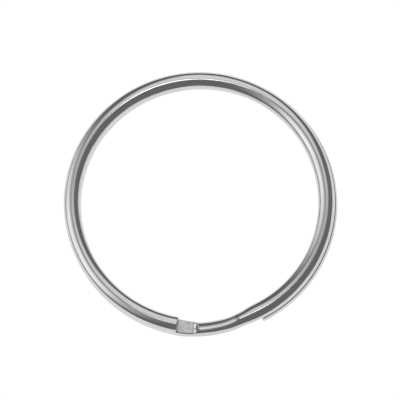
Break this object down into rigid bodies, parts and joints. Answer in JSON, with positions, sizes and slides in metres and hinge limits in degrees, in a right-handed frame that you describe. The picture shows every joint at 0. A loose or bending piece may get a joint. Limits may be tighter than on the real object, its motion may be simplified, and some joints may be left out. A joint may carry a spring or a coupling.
{
  "type": "split key ring",
  "caption": "Flat split ring of one spring wire in two face-to-face coils with a stepped crossover, for carrying keys.",
  "frame": {"origin": "middle of the ring's underside, on the surface that it lies on", "axes": "+Z along the ring's axis, through the thickness; the crossover is on the -Y side, towards the viewer"},
  "size_m": [0.03, 0.0297, 0.0026],
  "materials": {
    "plated_wire": "polished nickel plate on spring steel, satin on the pressed mating faces"
  },
  "bodies": {
    "held_wire": {"crossover_bend": "plated_wire", "upper_coil_held_half": "plated_wire", "lower_coil_held_half": "plated_wire"},
    "upper_free_end": {"upper_coil_free_half": "plated_wire"},
    "lower_free_end": {"lower_coil_free_half": "plated_wire"}
  },
  "joints": [
    {"name": "upper_end_lift", "type": "hinge", "parent": "held_wire", "child": "upper_free_end", "pos_m": [0.00281, 0.01439, 0.00135], "axis": [-0.9808, 0.1951, 0], "range_deg": [0, 6], "stiffness_Nm_per_rad": 1.06},
    {"name": "lower_end_lift", "type": "hinge", "parent": "held_wire", "child": "lower_free_end", "pos_m": [-0.00689, 0.01294, 0.0013], "axis": [0.8809, 0.4733, 0], "range_deg": [0, 6], "stiffness_Nm_per_rad": 1.06}
  ]
}
